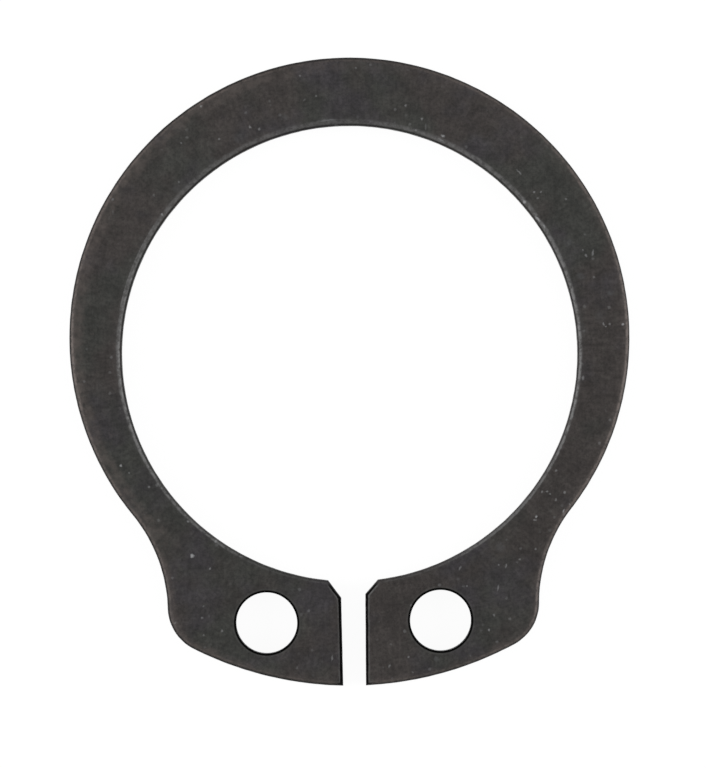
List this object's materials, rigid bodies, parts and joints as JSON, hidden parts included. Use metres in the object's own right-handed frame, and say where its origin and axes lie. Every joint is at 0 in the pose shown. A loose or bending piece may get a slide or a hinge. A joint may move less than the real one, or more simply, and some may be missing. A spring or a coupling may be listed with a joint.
{
  "type": "retaining ring",
  "caption": "External retaining ring: a flat split ring of blackened spring steel whose bow tapers into lugs with plier holes beside a narrow gap.",
  "frame": {"origin": "the bore's axis, at the lower face of the flat ring", "axes": "+Z along the bore and out of the upper face, +Y towards the widest part of the bow, opposite the gap, +X across the two lugs"},
  "size_m": [0.0202, 0.0227, 0.0012],
  "materials": {
    "blackened_steel": "matt black phosphate over hardened spring steel, with a soft mottle, worn paler along the tumbled edges"
  },
  "bodies": {
    "root": {"retaining_ring": "blackened_steel"}
  },
  "joints": []
}
